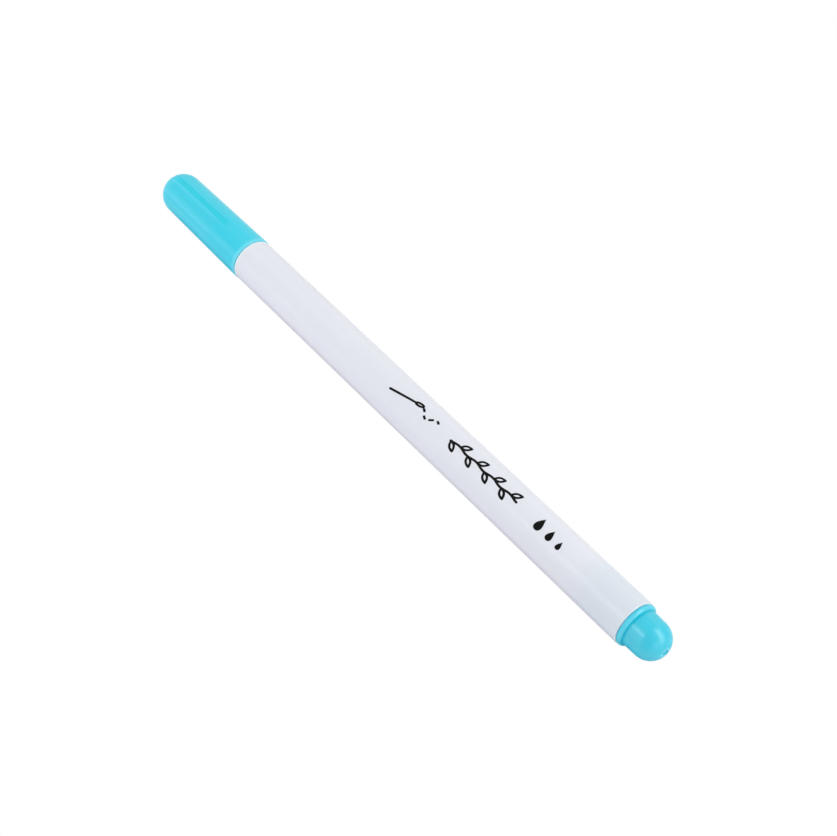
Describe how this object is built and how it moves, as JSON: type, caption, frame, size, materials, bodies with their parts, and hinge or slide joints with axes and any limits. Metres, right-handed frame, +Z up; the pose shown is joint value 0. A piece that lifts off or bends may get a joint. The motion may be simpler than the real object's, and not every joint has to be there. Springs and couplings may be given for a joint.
{
  "type": "fabric marking pen",
  "caption": "Capped felt-tip pen for marking fabric: round barrel, push-on cap with inner seal, fibre nib and reservoir, plugged tail.",
  "frame": {"origin": "under the middle of the capped pen's length, on the surface that it lies on", "axes": "+X along the pen from the cap to the tail, +Z up from the surface that it lies on"},
  "size_m": [0.1406, 0.0086, 0.0087],
  "materials": {
    "barrel_plastic": "satin",
    "section_plastic": "satin",
    "nib_fibre": "matte",
    "reservoir_fibre": "matte",
    "wrap_film": "gloss",
    "plug_plastic": "satin",
    "cap_plastic": "satin",
    "liner_plastic": "satin",
    "print_ink": "satin"
  },
  "bodies": {
    "barrel": {"barrel": "barrel_plastic", "front_section": "section_plastic", "nib": "nib_fibre", "reservoir_core": "reservoir_fibre", "reservoir_film": "wrap_film", "end_plug": "plug_plastic"},
    "cap": {"cap": "cap_plastic", "inner_cap": "liner_plastic"}
  },
  "joints": [
    {"name": "cap_slide", "type": "slide", "parent": "barrel", "child": "cap", "axis": [-1, 0, 0], "range_m": [0, 0.035]}
  ]
}
